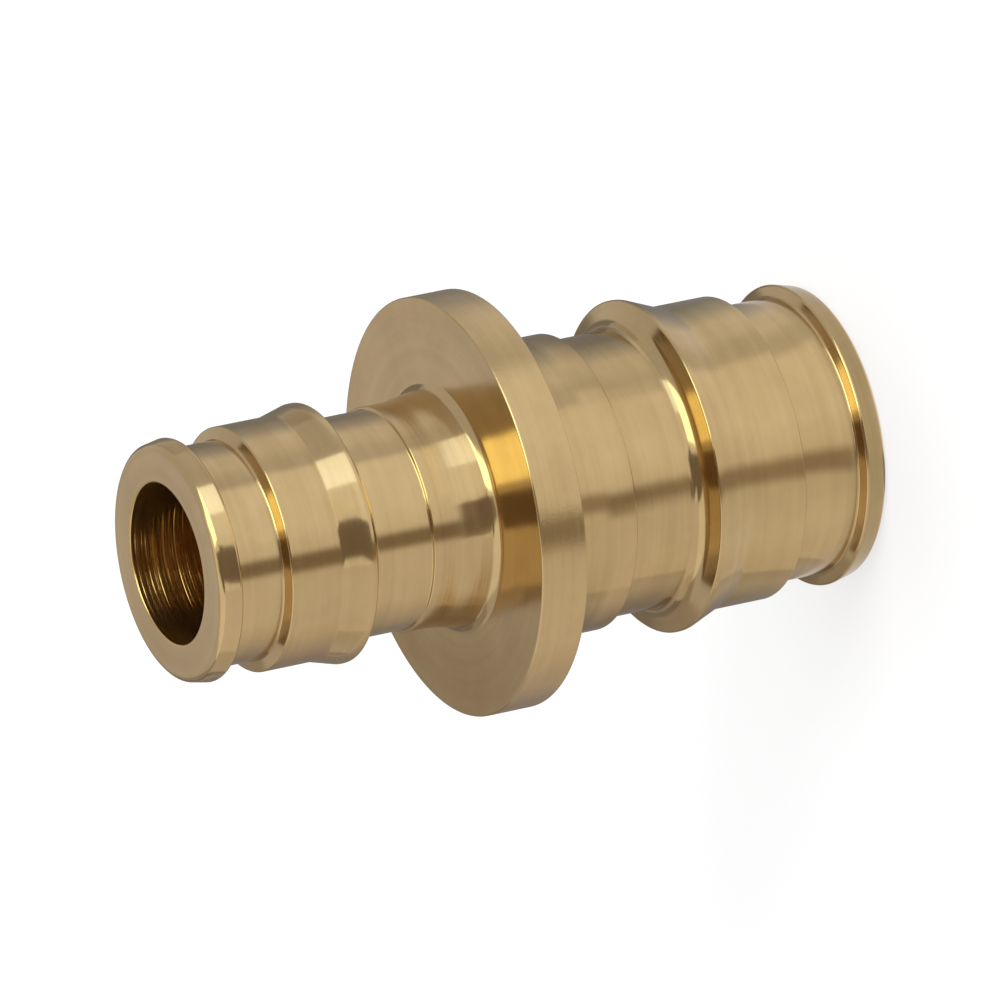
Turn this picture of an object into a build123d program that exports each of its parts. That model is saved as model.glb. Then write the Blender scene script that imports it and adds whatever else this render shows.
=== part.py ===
from build123d import *
from math import radians, tan
import os

# Reducing coupling for expanded plastic pipe, turned from one brass bar.
# It stands on the end face of its large insert: z = 0 is that face, z is the bore's axis,
# and the small insert points up. Diameters and lengths are in millimetres.

# Collar between the two inserts, the stop for both pipe ends
collar_diameter = 35.9
collar_thickness = 4.3
collar_edge_bevel = 0.06

# Small insert, for 3/4 inch pipe, with lengths counted from its tip
small_insert_length = 25.95
small_bore_diameter = 13.8
small_tip_diameter = 20.1
small_bead_diameter = 20.85
small_bead_length = 1.95
small_groove_diameter = 18.75
small_groove_length = 4.55
small_land_diameter = 20.9
small_land_length = 4.75
small_rib_diameter = 22.25
small_rib_ramp_length = 2.5
small_rib_foot_fillet = 0.9
small_valley_diameter = 18.8
small_valley_length = 6.05
small_neck_diameter = 19.3
small_root_diameter = 20.45
small_root_length = 3.5

# Large insert, for 1 inch pipe, with lengths counted from its tip
large_insert_length = 31.5
large_bore_diameter = 19.1
large_tip_diameter = 25.1
large_bead_diameter = 26.15
large_bead_length = 2.1
large_groove_diameter = 23.95
large_groove_length = 5.95
large_land_diameter = 26.2
large_land_length = 5.35
large_rib_diameter = 28.65
large_rib_ramp_length = 3.1
large_rib_foot_fillet = 1.35
large_valley_diameter = 23.95
large_valley_length = 7.1
large_neck_diameter = 25.5
large_root_diameter = 26.85
large_root_length = 4.3

# Details that both inserts share
rib_crest_flat = 0.4
rib_back_angle = 78.0
wall_angle = 76.0
tip_bevel = 0.3
bead_bevel = 0.15
collar_root_bevel = 0.45

# Bore: the step between its two widths, and the bevels at its mouths
bore_step_angle = 45.0
bore_step_above_large_insert = 0.6
bore_mouth_bevel = 0.1

# Lengths that follow from the sizes above
overall_length = large_insert_length + collar_thickness + small_insert_length
collar_base_height = large_insert_length
collar_top_height = large_insert_length + collar_thickness


def wall_run(low_diameter, high_diameter, angle):
    """Length along the axis of a wall that climbs between two diameters at an angle."""
    return abs(high_diameter - low_diameter) / 2 / tan(radians(angle))


def insert_outline(
    tip, bead, bead_length, groove, groove_length, land, land_length, rib, ramp_length,
    foot_fillet, valley, valley_length, neck, root, root_length, insert_length,
):
    """Corners of one insert, tip to collar: radius, distance from the tip, bevel, fillet."""
    bead_end = bead_length
    groove_start = bead_end + wall_run(groove, bead, wall_angle)
    land_start = bead_end + groove_length
    groove_end = land_start - wall_run(groove, land, wall_angle)
    land_end = land_start + land_length
    crest_start = land_end + ramp_length
    crest_end = crest_start + rib_crest_flat
    valley_start = crest_end + wall_run(valley, rib, rib_back_angle)
    neck_start = crest_end + valley_length
    valley_end = neck_start - wall_run(valley, neck, wall_angle)
    root_start = insert_length - root_length
    return [
        (tip / 2, 0.0, tip_bevel, 0.0),
        (bead / 2, bead_end, bead_bevel, 0.0),
        (groove / 2, groove_start, 0.0, 0.0),
        (groove / 2, groove_end, 0.0, 0.0),
        (land / 2, land_start, 0.0, 0.0),
        (land / 2, land_end, 0.0, 0.0),
        (rib / 2, crest_start, 0.0, 0.0),
        (rib / 2, crest_end, 0.0, 0.0),
        (valley / 2, valley_start, 0.0, foot_fillet),
        (valley / 2, valley_end, 0.0, 0.0),
        (neck / 2, neck_start, 0.0, 0.0),
        (neck / 2, root_start, 0.0, 0.0),
        (root / 2, insert_length, collar_root_bevel, 0.0),
    ]


def bevelled(corners):
    """Splits each corner that has a bevel in two, set back along the straight runs beside it."""
    result = []
    for index, (radius, height, bevel, fillet_radius) in enumerate(corners):
        if bevel == 0.0:
            result.append((radius, height, fillet_radius))
            continue
        corner = Vector(radius, height)
        for neighbour in (corners[index - 1], corners[(index + 1) % len(corners)]):
            run = Vector(neighbour[0], neighbour[1]) - corner
            cut = corner + run.normalized() * min(bevel, 0.4 * run.length)
            result.append((cut.X, cut.Y, 0.0))
    return result


def fillets_that_fit(corners):
    """Each corner's fillet, limited to what the two straight runs beside it can hold."""
    fillet_radii = []
    for index, (radius, height, fillet_radius) in enumerate(corners):
        radius_before, height_before, _ = corners[index - 1]
        radius_after, height_after, _ = corners[(index + 1) % len(corners)]
        run_in = Vector(radius - radius_before, height - height_before)
        run_out = Vector(radius_after - radius, height_after - height)
        half_turn = radians(run_in.get_angle(run_out)) / 2
        longest_tangent = 0.45 * min(run_in.length, run_out.length)
        if tan(half_turn) > 0.001:
            fillet_radii.append(min(fillet_radius, longest_tangent / tan(half_turn)))
        else:
            fillet_radii.append(0.0)
    return fillet_radii


# Outer outline, from the large tip at z = 0 up to the small tip
large_side = insert_outline(
    large_tip_diameter, large_bead_diameter, large_bead_length,
    large_groove_diameter, large_groove_length, large_land_diameter, large_land_length,
    large_rib_diameter, large_rib_ramp_length, large_rib_foot_fillet,
    large_valley_diameter, large_valley_length,
    large_neck_diameter, large_root_diameter, large_root_length, large_insert_length,
)
small_side = insert_outline(
    small_tip_diameter, small_bead_diameter, small_bead_length,
    small_groove_diameter, small_groove_length, small_land_diameter, small_land_length,
    small_rib_diameter, small_rib_ramp_length, small_rib_foot_fillet,
    small_valley_diameter, small_valley_length,
    small_neck_diameter, small_root_diameter, small_root_length, small_insert_length,
)
collar_corners = [
    (collar_diameter / 2, collar_base_height, collar_edge_bevel, 0.0),
    (collar_diameter / 2, collar_top_height, collar_edge_bevel, 0.0),
]
small_side_upward = [
    (radius, overall_length - distance, bevel, fillet_radius)
    for radius, distance, bevel, fillet_radius in reversed(small_side)
]

# Bore outline, from the small mouth at the top down to the large mouth
bore_step_base = large_insert_length + bore_step_above_large_insert
bore_step_top = bore_step_base + wall_run(small_bore_diameter, large_bore_diameter, bore_step_angle)
bore_corners = [
    (small_bore_diameter / 2, overall_length, bore_mouth_bevel, 0.0),
    (small_bore_diameter / 2, bore_step_top, 0.0, 0.0),
    (large_bore_diameter / 2, bore_step_base, 0.0, 0.0),
    (large_bore_diameter / 2, 0.0, bore_mouth_bevel, 0.0),
]

# The whole section, turned once about the bore's axis
section_corners = bevelled(large_side + collar_corners + small_side_upward + bore_corners)
section_points = [(radius, height) for radius, height, _ in section_corners]
with BuildPart() as coupling:
    with BuildSketch(Plane.XZ):
        with BuildLine():
            FilletPolyline(
                section_points,
                radius=fillets_that_fit(section_corners),
                close=True,
            )
        make_face()
    revolve(axis=Axis.Z)

os.makedirs("parts", exist_ok=True)
export_step(coupling.part, "parts/coupling_body.step")
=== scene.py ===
import bpy
from collections import Counter
from math import atan2, cos, hypot, pi, radians, sin, tan
from mathutils import Matrix, Vector


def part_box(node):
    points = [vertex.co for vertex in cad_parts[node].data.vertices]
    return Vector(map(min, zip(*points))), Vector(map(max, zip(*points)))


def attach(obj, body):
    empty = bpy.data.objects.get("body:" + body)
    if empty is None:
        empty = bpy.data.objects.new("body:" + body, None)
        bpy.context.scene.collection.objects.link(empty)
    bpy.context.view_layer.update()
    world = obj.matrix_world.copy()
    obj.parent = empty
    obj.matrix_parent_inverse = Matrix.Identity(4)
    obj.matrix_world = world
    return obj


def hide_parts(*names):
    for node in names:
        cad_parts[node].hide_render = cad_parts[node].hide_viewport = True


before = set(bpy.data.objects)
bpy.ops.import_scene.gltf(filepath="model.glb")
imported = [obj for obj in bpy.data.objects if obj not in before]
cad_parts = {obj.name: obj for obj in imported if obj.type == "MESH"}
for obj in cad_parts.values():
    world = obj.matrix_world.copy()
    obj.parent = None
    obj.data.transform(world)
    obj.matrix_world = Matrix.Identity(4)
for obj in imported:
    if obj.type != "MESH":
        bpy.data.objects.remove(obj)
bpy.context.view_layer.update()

# Turns of the outline, by how sharp they are. Turns that aren't even slight are arcs of the solid
SLIGHT_TURN = radians(3)
SWEPT_TURN = radians(12)
SHARP_TURN = radians(20)
STEEP_TURN = radians(52)

# Roundings that the visible mesh adds, in metres, and the share of the shorter run that they may take
EDGE_ROUNDING = 0.00016
FOOT_ROUNDING = 0.00022
GENTLE_ROUNDING = 0.00045
LONGEST_SHARE = 0.42
SLIGHT_SHARE = 0.28
SWEPT_SHARE = 0.8
SHORT_BEVEL = 0.00012
LONG_RUN = 0.0006

# Steps of the rounding arcs and of the lathe, and the ring that holds the flat beside an arc
ARC_STEP = radians(14)
FEWEST_STEPS = 4
SUPPORT = 0.00003
SUPPORT_ROOM = 8
SEGMENTS = 288


def section_of(node):
    """Closed outline of a turned CAD node: its rings as (radius, height), in order along the section."""
    mesh = node.data
    keys = {}
    ring_of = []
    rings = []
    for vertex in mesh.vertices:
        radius, height = hypot(vertex.co.x, vertex.co.y), vertex.co.z
        key = (round(radius * 2e5), round(height * 2e5))
        if key not in keys:
            near = [keys[(key[0] + a, key[1] + b)] for a in (-1, 0, 1) for b in (-1, 0, 1)
                    if (key[0] + a, key[1] + b) in keys]
            if near:
                keys[key] = near[0]
            else:
                keys[key] = len(rings)
                rings.append((radius, height))
        ring_of.append(keys[key])
    # A strip of faces joins each ring to the next with far more edges than any stray link has
    links = [Counter() for _ in rings]
    for edge in mesh.edges:
        a, b = ring_of[edge.vertices[0]], ring_of[edge.vertices[1]]
        if a != b:
            links[a][b] += 1
            links[b][a] += 1
    neighbours = [[other for other, _ in link.most_common(2)] for link in links]
    order = [0, min(neighbours[0])]
    while True:
        onward = [other for other in neighbours[order[-1]] if other != order[-2]]
        if onward[0] == order[0]:
            break
        order.append(onward[0])
    if len(order) != len(rings):
        raise ValueError("the section isn't one closed outline")
    outline = [Vector(rings[index]) for index in order]
    area = sum(a.x * b.y - b.x * a.y for a, b in zip(outline, outline[1:] + outline[:1]))
    return outline if area > 0 else outline[::-1]


def without_short_bevels(outline):
    """The outline with each bevel too short to see drawn out to its sharp corner."""
    count = len(outline)
    result = []
    index = 0
    while index < count:
        here, onward = outline[index], outline[(index + 1) % count]
        if (onward - here).length > SHORT_BEVEL:
            result.append(here)
            index += 1
            continue
        before, after = here - outline[index - 1], outline[(index + 2) % count] - onward
        share = (onward - here).cross(after) / before.cross(after)
        result.append(here + before * share)
        index += 2
    return result


def setback_of(turn, shorter_run):
    """How far the rounding of a turn reaches along the runs beside it. Outside corners turn below 0."""
    if abs(turn) < SWEPT_TURN:
        return SWEPT_SHARE * shorter_run
    if abs(turn) < SHARP_TURN:
        return SLIGHT_SHARE * shorter_run
    if abs(turn) < STEEP_TURN:
        radius = GENTLE_ROUNDING
    else:
        radius = EDGE_ROUNDING if turn < 0 else FOOT_ROUNDING
    return min(radius * tan(abs(turn) / 2), LONGEST_SHARE * shorter_run)


def rounded(outline):
    """The outline with its corners rounded a little, and a support ring beside each arc."""
    count = len(outline)
    result = []
    for index, corner in enumerate(outline):
        before, after = outline[index - 1] - corner, outline[(index + 1) % count] - corner
        turn = (-before).angle_signed(after)
        shorter_run = min(before.length, after.length)
        if abs(turn) < (SLIGHT_TURN if shorter_run > LONG_RUN else SHARP_TURN):
            result.append(corner.copy())
            continue
        setback = setback_of(turn, shorter_run)
        radius = setback / tan(abs(turn) / 2)
        start = corner + before.normalized() * setback
        end = corner + after.normalized() * setback
        inward = (before.normalized() + after.normalized()).normalized()
        centre = corner + inward * (radius / cos(abs(turn) / 2))
        steps = max(FEWEST_STEPS, round(abs(turn) / ARC_STEP))
        if before.length > SUPPORT_ROOM * setback:
            result.append(start + before.normalized() * SUPPORT)
        for step in range(steps + 1):
            arm = start - centre
            arm.rotate(Matrix.Rotation(-turn * step / steps, 2))
            result.append(centre + arm)
        if after.length > SUPPORT_ROOM * setback:
            result.append(end + after.normalized() * SUPPORT)
    return result


def shown(name, mesh):
    """New object of a mesh, linked to the scene."""
    piece = bpy.data.objects.new(name, mesh)
    bpy.context.scene.collection.objects.link(piece)
    return piece


def lathe(name, outline, segments):
    """Spins a closed outline about the Z axis into one closed skin."""
    vertices = []
    for step in range(segments):
        angle = 2 * pi * step / segments
        vertices += [(p.x * cos(angle), p.x * sin(angle), p.y) for p in outline]
    count = len(outline)
    faces = []
    for step in range(segments):
        here, there = step * count, (step + 1) % segments * count
        for index in range(count):
            onward = (index + 1) % count
            faces.append((here + index, there + index, there + onward, here + onward))
    mesh = bpy.data.meshes.new(name)
    mesh.from_pydata(vertices, [], faces)
    mesh.shade_smooth()
    mesh.validate()
    return shown(name, mesh)


class Nodes:
    """Short helper for building one node tree."""

    def __init__(self, owner):
        owner.use_nodes = True
        self.tree = owner.node_tree
        self.tree.nodes.clear()

    def add(self, kind, inputs=None, **settings):
        node = self.tree.nodes.new(kind)
        for key, value in settings.items():
            setattr(node, key, value)
        for key, value in (inputs or {}).items():
            if isinstance(value, bpy.types.NodeSocket):
                self.tree.links.new(value, node.inputs[key])
            else:
                node.inputs[key].default_value = value
        return node

    def math(self, operation, *values):
        return self.add("ShaderNodeMath", dict(enumerate(values)), operation=operation).outputs[0]

    def remap(self, value, low, high, new_low, new_high):
        return self.add("ShaderNodeMapRange", {
            "Value": value, "From Min": low, "From Max": high, "To Min": new_low, "To Max": new_high,
        }).outputs[0]

    def noise(self, place, scale, detail):
        return self.add("ShaderNodeTexNoise", {
            "Vector": place, "Scale": scale, "Detail": detail, "Roughness": 0.6,
        }).outputs["Fac"]

    def seen(self):
        """1 for rays of the camera, of reflections and of clear pieces, 0 for the rays that light."""
        path = self.add("ShaderNodeLightPath")
        seen = self.math("MAXIMUM", path.outputs["Is Camera Ray"], path.outputs["Is Glossy Ray"])
        return self.math("MAXIMUM", seen, path.outputs["Is Transmission Ray"])


# Scales of the brass patterns, per metre
LINE_SCALE = 7000.0
BAND_SCALE = 1300.0
PATCH_SCALE = 160.0
GRAIN_SCALE = 3500.0
ARC_SCALE = 30.0

# How much of the tarnish follows the patches, the rest follows the bands
PATCH_SHARE = 0.6

# Ridges that the boring tool left: their pitch in metres, and how far bands push them, in radians
RIDGE_PITCH = 0.00045
RIDGE_WANDER = 16.0
MICRON = 0.000001


def brass(
    name, colour, tarnish, roughness, anisotropy, line_height, ring_height, grain_height=0.0,
    ridge_height=0.0,
):
    """Turned brass: rings from the lathe tool, a fine grain, and tarnish in soft patches.

    Heights are in metres. The rings follow height and radius, so they run round walls and faces alike.
    """
    material = bpy.data.materials.new(name)
    n = Nodes(material)
    place = n.add("ShaderNodeTexCoord").outputs["Object"]
    parts = n.add("ShaderNodeSeparateXYZ", {0: place})
    across = n.add("ShaderNodeVectorMath", {0: place, 1: (1, 1, 0)}, operation="MULTIPLY").outputs[0]
    radius = n.add("ShaderNodeVectorMath", {0: across}, operation="LENGTH").outputs["Value"]
    along = n.math("ADD", parts.outputs["Z"], n.math("MULTIPLY", radius, 0.7))
    arc_x = n.math("MULTIPLY", parts.outputs["X"], ARC_SCALE)
    arc_y = n.math("MULTIPLY", parts.outputs["Y"], ARC_SCALE)

    def rings(per_metre, detail):
        spot = n.add("ShaderNodeCombineXYZ", {
            0: arc_x, 1: arc_y, 2: n.math("MULTIPLY", along, per_metre),
        }).outputs[0]
        return n.noise(spot, 1.0, detail)

    lines = rings(LINE_SCALE, 2.0)
    bands = rings(BAND_SCALE, 3.0)
    patches = n.noise(place, PATCH_SCALE, 4.0)
    tone = n.math(
        "ADD", n.math("MULTIPLY", patches, PATCH_SHARE), n.math("MULTIPLY", bands, 1 - PATCH_SHARE),
    )
    paint = n.add("ShaderNodeMix", {
        "Factor": n.remap(tone, 0.38, 0.62, 0.0, 1.0), "A": (*tarnish, 1), "B": (*colour, 1),
    }, data_type="RGBA")
    height = n.math("ADD", n.math("MULTIPLY", lines, line_height), n.math("MULTIPLY", bands, ring_height))
    if grain_height:
        grain = n.noise(place, GRAIN_SCALE, 2.0)
        height = n.math("ADD", height, n.math("MULTIPLY", grain, grain_height))
    if ridge_height:
        feed = n.math("MULTIPLY", parts.outputs["Z"], 2 * pi / RIDGE_PITCH)
        ridge = n.math("SINE", n.math("ADD", feed, n.math("MULTIPLY", bands, RIDGE_WANDER)))
        ridge = n.math("MULTIPLY", ridge, n.remap(patches, 0.42, 0.6, 0.15, 1.0))
        height = n.math("ADD", height, n.math("MULTIPLY", ridge, ridge_height))
    bump = n.add("ShaderNodeBump", {"Strength": 1.0, "Distance": 1.0, "Height": height}).outputs[0]
    tangent = n.add("ShaderNodeTangent", direction_type="RADIAL", axis="Z").outputs[0]
    shader = n.add("ShaderNodeBsdfPrincipled", {
        # The colour result of the mix is its third output
        "Base Color": paint.outputs[2],
        "Metallic": 1.0,
        "Roughness": n.remap(lines, 0.3, 0.7, roughness * 0.88, roughness * 1.15),
        "Anisotropic": anisotropy,
        "Anisotropic Rotation": 0.25,
        "Tangent": tangent,
        "Normal": bump,
    })
    n.add("ShaderNodeOutputMaterial", {"Surface": shader.outputs[0]})
    return material


# Camera at the photograph's angle, far away with a long lens
VIEW_TO_AXIS = radians(64.577)
ROLL = radians(-101.596)
camera_data = bpy.data.cameras.new("camera")
camera_data.lens = 514.286
camera_data.sensor_width = 36.0
camera_data.clip_start = 0.02
camera = shown("camera", camera_data)
camera.matrix_world = (
    Matrix.Translation((-0.000359, -1.087319, 0.54726))
    @ Matrix.Rotation(VIEW_TO_AXIS, 4, "X")
    @ Matrix.Rotation(ROLL, 4, "Z")
)
bpy.context.scene.camera = camera

# The coupling: a lathe skin of the solid's own section
LATHED = (0.60, 0.433, 0.212)
TARNISHED = (0.52, 0.368, 0.176)
BORE_LATHED = (0.70, 0.48, 0.20)
BORE_TARNISHED = (0.58, 0.39, 0.155)
section = section_of(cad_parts["coupling_body"])
body = lathe("coupling", rounded(without_short_bevels(section)), SEGMENTS)
finishes = [
    brass("turned_brass", LATHED, TARNISHED, roughness=0.15, anisotropy=0.6,
          line_height=1.4 * MICRON, ring_height=6 * MICRON),
    brass("faced_brass", LATHED, TARNISHED, roughness=0.16, anisotropy=0.3,
          line_height=1 * MICRON, ring_height=2 * MICRON, grain_height=1 * MICRON),
    brass("rim_brass", LATHED, TARNISHED, roughness=0.23, anisotropy=0.3,
          line_height=0.6 * MICRON, ring_height=2 * MICRON, grain_height=6 * MICRON),
    brass("bored_brass", BORE_LATHED, BORE_TARNISHED, roughness=0.22, anisotropy=0.4,
          line_height=1.5 * MICRON, ring_height=8 * MICRON, ridge_height=16 * MICRON),
]
for finish in finishes:
    body.data.materials.append(finish)
TURNED, FACED, RIM, BORED = range(4)

# What tells the finishes apart: how far a face looks in, out or along the axis, and the rim's depth
BORE_FACING = -0.3
RIM_FACING = 0.9
END_FACING = 0.98
RIM_DEPTH = 0.0002
low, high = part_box("coupling_body")
for face in body.data.polygons:
    centre, normal = face.center, face.normal
    reach = hypot(centre.x, centre.y)
    outward = (centre.x * normal.x + centre.y * normal.y) / reach
    if outward < BORE_FACING:
        face.material_index = BORED
    elif reach > high.x - RIM_DEPTH and outward > RIM_FACING:
        face.material_index = RIM
    elif abs(normal.z) > END_FACING:
        face.material_index = FACED
    else:
        face.material_index = TURNED
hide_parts("coupling_body")
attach(body, "root")


DISC_CORNERS = 96
FLOOR_RADIUS = 3.0
FLOOR_HEIGHT = -0.00002
FLOOR_GLOW = 0.7


def disc(name, radius, height):
    """Flat round stage piece of one face."""
    turns = [2 * pi * k / DISC_CORNERS for k in range(DISC_CORNERS)]
    corners = [(radius * cos(turn), radius * sin(turn), height) for turn in turns]
    mesh = bpy.data.meshes.new(name)
    mesh.from_pydata(corners, [], [tuple(range(DISC_CORNERS))])
    piece = shown(name, mesh)
    return piece


# Floor: pale, a hair below the coupling, with the object's shadow
floor = disc("floor", FLOOR_RADIUS, FLOOR_HEIGHT)
floor_paint = bpy.data.materials.new("floor")
n = Nodes(floor_paint)
matt = n.add("ShaderNodeBsdfDiffuse", {"Color": (0.9, 0.9, 0.9, 1)})
white = n.add("ShaderNodeEmission", {"Color": (1, 1, 1, 1), "Strength": 1.0})
whiteness = n.math("MULTIPLY", n.seen(), FLOOR_GLOW)
mixed = n.add("ShaderNodeMixShader", {0: whiteness, 1: matt.outputs[0], 2: white.outputs[0]})
n.add("ShaderNodeOutputMaterial", {"Surface": mixed.outputs[0]})
floor.data.materials.append(floor_paint)

# Studio: bearings are counted from -Y towards +X, in degrees, and cards show in reflections only. Their
# colours are painted reflections, which give most of the light and shade on the brass
STUDIO_CENTRE = Vector((0, 0, 0.03))
CARD_DISTANCE = 0.2
CARD_ROWS = 12
CARD_COLUMNS = 16


def only_reflected(card, glow):
    """Gives a card its own plain light, and hides it from everything but reflections."""
    card.data.materials.append(glow)
    card.visible_camera = False
    card.visible_diffuse = False
    card.visible_shadow = False
    card.visible_transmission = False
    card.visible_volume_scatter = False


def direction(bearing, elevation):
    """Unit vector of a bearing and an elevation."""
    level = cos(radians(elevation))
    return Vector((
        level * sin(radians(bearing)), -level * cos(radians(bearing)), sin(radians(elevation)),
    ))


def ramp_place(bearing):
    """Place of a bearing on the radial gradient."""
    return (atan2(-cos(radians(bearing)), sin(radians(bearing))) / (2 * pi) + 0.5) % 1.0


def floor_card(name, radius, height, bearings):
    """Reflection card on the floor, coloured by bearing: a painted reflection of the light and shade that
    the sides of the coupling see.
    """
    material = bpy.data.materials.new(name)
    n = Nodes(material)
    turn = n.add("ShaderNodeTexGradient", {
        "Vector": n.add("ShaderNodeTexCoord").outputs["Object"],
    }, gradient_type="RADIAL").outputs["Fac"]
    ramp = n.add("ShaderNodeValToRGB", {"Fac": turn})
    stops = sorted((ramp_place(bearing), colour) for bearing, colour in bearings)
    elements = ramp.color_ramp.elements
    while len(elements) > 1:
        elements.remove(elements[0])
    elements[0].position = stops[0][0]
    elements[0].color = (*stops[0][1], 1)
    for position, colour in stops[1:]:
        elements.new(position).color = (*colour, 1)
    light = n.add("ShaderNodeEmission", {"Color": ramp.outputs[0], "Strength": 1.0})
    n.add("ShaderNodeOutputMaterial", {"Surface": light.outputs[0]})
    only_reflected(disc(name, radius, height), material)


def standing_card(name, elevations, bearings, colour, strength=1.0, head_bearings=None):
    """Curved card around the coupling. Head bearings are given where its sides lean."""
    head_bearings = head_bearings or bearings
    points = []
    for row in range(CARD_ROWS + 1):
        rise = row / CARD_ROWS
        elevation = elevations[0] + (elevations[1] - elevations[0]) * rise
        first, last = [foot + (head - foot) * rise for foot, head in zip(bearings, head_bearings)]
        for column in range(CARD_COLUMNS + 1):
            bearing = first + (last - first) * column / CARD_COLUMNS
            points.append(STUDIO_CENTRE + direction(bearing, elevation) * CARD_DISTANCE)
    wide = CARD_COLUMNS + 1
    corners = [row * wide + column for row in range(CARD_ROWS) for column in range(CARD_COLUMNS)]
    mesh = bpy.data.meshes.new(name)
    mesh.from_pydata(points, [], [(c, c + 1, c + 1 + wide, c + wide) for c in corners])
    material = bpy.data.materials.new(name)
    n = Nodes(material)
    light = n.add("ShaderNodeEmission", {"Color": (*colour, 1), "Strength": strength})
    n.add("ShaderNodeOutputMaterial", {"Surface": light.outputs[0]})
    only_reflected(shown(name, mesh), material)


# Floor cards, painted reflections by bearing with painted shade in their dark sectors at the back: the
# wide one serves the small insert and the collar, the near one the large insert, and the foot one the
# bead that the coupling stands on
floor_card("floor_card", 0.2, 0.0, [
    (-155, (0.27, 0.24, 0.22)),
    (-140, (0.34, 0.30, 0.28)),
    (-118, (0.56, 0.53, 0.52)),
    (-95, (0.76, 0.72, 0.70)),
    (-34, (0.80, 0.77, 0.78)),
    (-28, (0.30, 0.25, 0.20)),
    (-18, (0.30, 0.25, 0.20)),
    (-12, (0.92, 0.92, 0.92)),
    (10, (1.0, 1.0, 1.03)),
    (60, (1.0, 1.0, 1.03)),
    (66, (0.66, 0.66, 0.70)),
    (78, (0.70, 0.70, 0.74)),
    (90, (0.82, 0.82, 0.88)),
    (106, (0.82, 0.82, 0.86)),
    (120, (0.52, 0.52, 0.56)),
    (140, (0.29, 0.29, 0.28)),
    (165, (0.21, 0.20, 0.18)),
])
floor_card("floor_card_near", 0.06, 0.0003, [
    (-134, (0.25, 0.23, 0.22)),
    (-121, (0.33, 0.31, 0.29)),
    (-102, (0.54, 0.51, 0.48)),
    (-82, (0.74, 0.71, 0.65)),
    (-60, (0.80, 0.79, 0.77)),
    (-28, (0.78, 0.76, 0.74)),
    (-22, (0.42, 0.36, 0.32)),
    (-15, (0.42, 0.36, 0.32)),
    (-9, (0.88, 0.86, 0.84)),
    (10, (0.99, 0.98, 0.98)),
    (50, (0.99, 0.98, 0.98)),
    (56, (0.70, 0.70, 0.72)),
    (66, (0.70, 0.70, 0.72)),
    (77, (0.82, 0.82, 0.86)),
    (90, (0.80, 0.80, 0.82)),
    (103, (0.50, 0.52, 0.54)),
    (120, (0.29, 0.30, 0.31)),
    (143, (0.23, 0.22, 0.22)),
])
floor_card("floor_card_foot", 0.0165, 0.0004, [(0, (0.66, 0.65, 0.66))])

# Standing cards: one dark slit in front, one bright window beside it, and grey walls all round; they
# paint the dark and bright bands that the brass reflects
DARK = (0.24, 0.20, 0.17)
standing_card("dark_card_low", (-8, 18), (-34, -1), DARK, head_bearings=(-23, 9))
standing_card("dark_card_high", (18, 75), (-37, 2), DARK)
standing_card("light_card_low", (-8, 18), (35, 63), (0.95, 1.05, 1.15), 1.7)
standing_card("light_card_high", (18, 75), (12, 66), (1.0, 1.12, 0.86), 2.9)
standing_card("right_card", (-8, 75), (63, 110), (0.62, 0.62, 0.66))
standing_card("left_card", (-8, 20), (-98, -34), (0.80, 0.77, 0.78))
standing_card("left_card_far", (-8, 20), (-130, -98), (0.61, 0.58, 0.58))
standing_card("right_card_far", (-8, 13), (110, 146), (0.50, 0.48, 0.47))
standing_card("back_card_low", (-8, 13), (146, 230), (0.26, 0.24, 0.22))
standing_card("back_card_right", (13, 30), (110, 182), (0.65, 0.64, 0.66))
standing_card("back_card_left", (13, 30), (182, 250), (0.40, 0.37, 0.36))
standing_card("back_card_high", (30, 75), (110, 250), (0.62, 0.61, 0.64))

# World: white where it is seen, also in the metal, and a plain grey as light on the floor
world = bpy.data.worlds.new("studio")
bpy.context.scene.world = world
n = Nodes(world)
sky = n.add("ShaderNodeBackground", {"Color": (0.62, 0.62, 0.62, 1), "Strength": 1.0})
back = n.add("ShaderNodeBackground", {"Color": (1, 1, 1, 1), "Strength": 1.0})
mixed = n.add("ShaderNodeMixShader", {0: n.seen(), 1: sky.outputs[0], 2: back.outputs[0]})
n.add("ShaderNodeOutputWorld", {"Surface": mixed.outputs[0]})


def softbox(name, bearing, elevation, distance, size, power):
    """Square area light that faces the coupling and throws its shadow on the floor."""
    lamp = bpy.data.lights.new(name, "AREA")
    lamp.shape = "SQUARE"
    lamp.size = size
    lamp.energy = power
    out = direction(bearing, elevation)
    box = shown(name, lamp)
    box.location = STUDIO_CENTRE + out * distance
    box.rotation_euler = out.to_track_quat("Z", "Y").to_euler()
    box.visible_glossy = False


softbox("key", 48, 35, distance=0.9, size=0.5, power=6.0)
softbox("top", 160, 70, distance=1.2, size=0.9, power=8.0)

bpy.context.scene.view_settings.view_transform = "Standard"
